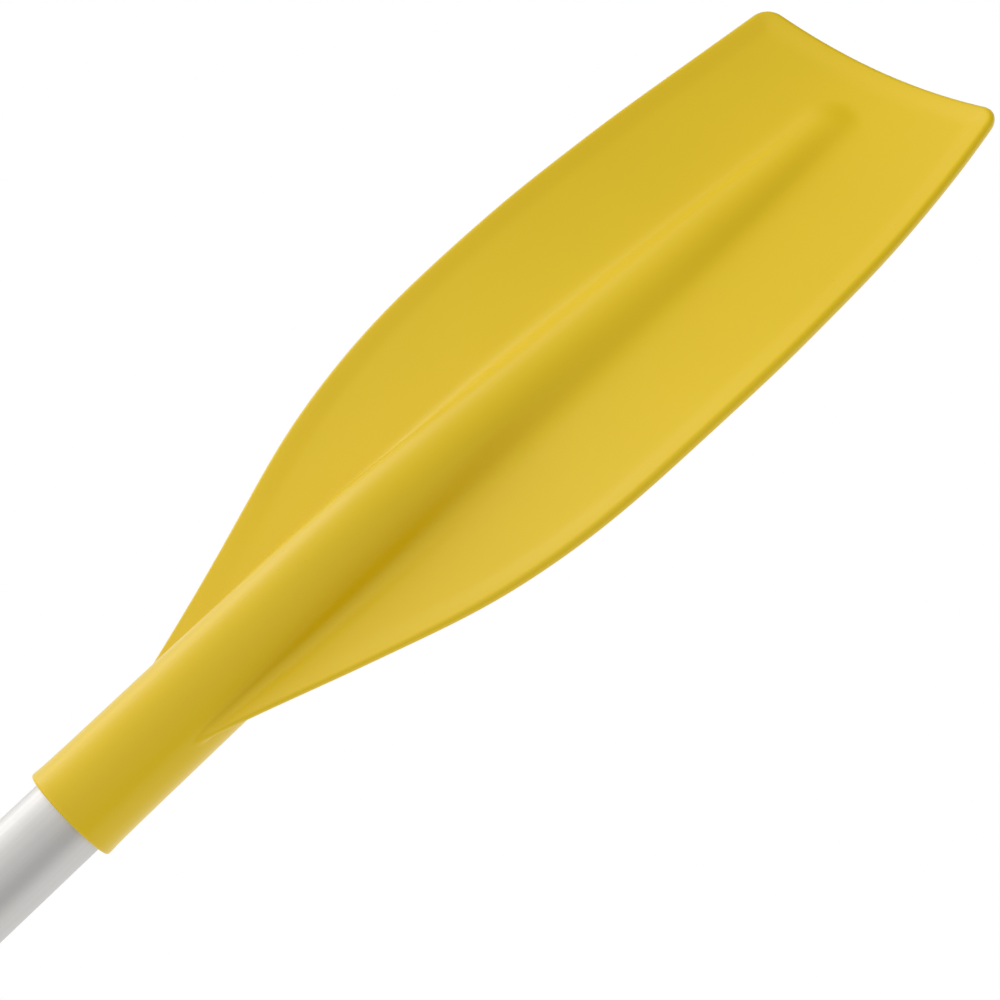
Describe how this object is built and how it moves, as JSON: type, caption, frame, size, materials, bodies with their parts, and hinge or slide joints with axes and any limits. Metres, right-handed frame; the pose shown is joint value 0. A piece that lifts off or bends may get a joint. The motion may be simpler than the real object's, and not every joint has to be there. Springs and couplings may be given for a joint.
{
  "type": "rowing oar",
  "caption": "Two-piece rowing oar: dished moulded blade with central spine and socket, tube shaft with snap-button joint, rowlock sleeve, sliding stop collar and ribbed grip.",
  "frame": {"origin": "on the shaft axis, at the middle of the rowlock journal", "axes": "+X along the shaft towards the blade tip, +Z along the normal of the blade's hollow power face, +Y across the blade"},
  "size_m": [1.6015, 0.1684, 0.069],
  "materials": {
    "blade_plastic": "satin moulded polypropylene, fine grain",
    "shaft_metal": "satin silver anodised drawn tube",
    "rivet_metal": "plain",
    "stainless": "plain stainless",
    "black_plastic": "moulded, fine grain",
    "grip_plastic": "soft moulded, matt",
    "seal_rubber": "matt",
    "foam": "closed-cell foam"
  },
  "bodies": {
    "inboard": {"inboard_tube": "shaft_metal", "joint_spigot": "black_plastic", "joint_seal_ring": "seal_rubber", "spigot_rivets": "rivet_metal", "button_spring": "stainless", "rowlock_sleeve": "black_plastic", "sleeve_rivets": "rivet_metal", "handle_grip": "grip_plastic", "handle_end_plug": "black_plastic", "inboard_joint_plug": "black_plastic", "inboard_float": "foam"},
    "outboard": {"outboard_tube": "shaft_metal", "blade": "blade_plastic", "blade_rivets": "rivet_metal", "blade_end_plug": "black_plastic", "outboard_joint_plug": "black_plastic", "outboard_float": "foam"},
    "button": {"snap_button": "stainless"},
    "collar": {"stop_collar": "black_plastic", "collar_screw": "stainless", "collar_washers": "stainless", "collar_nut": "stainless"}
  },
  "joints": [
    {"name": "shaft_take_apart", "type": "slide", "parent": "inboard", "child": "outboard", "axis": [1, 0, 0], "range_m": [0, 0.12]},
    {"name": "button_press", "type": "slide", "parent": "inboard", "child": "button", "axis": [0, 0, -1], "range_m": [0, 0.0052], "stiffness_N_per_m": 1500, "deforming": ["button_spring"]},
    {"name": "collar_slide", "type": "slide", "parent": "inboard", "child": "collar", "axis": [1, 0, 0], "range_m": [-0.024, 0.06]}
  ]
}
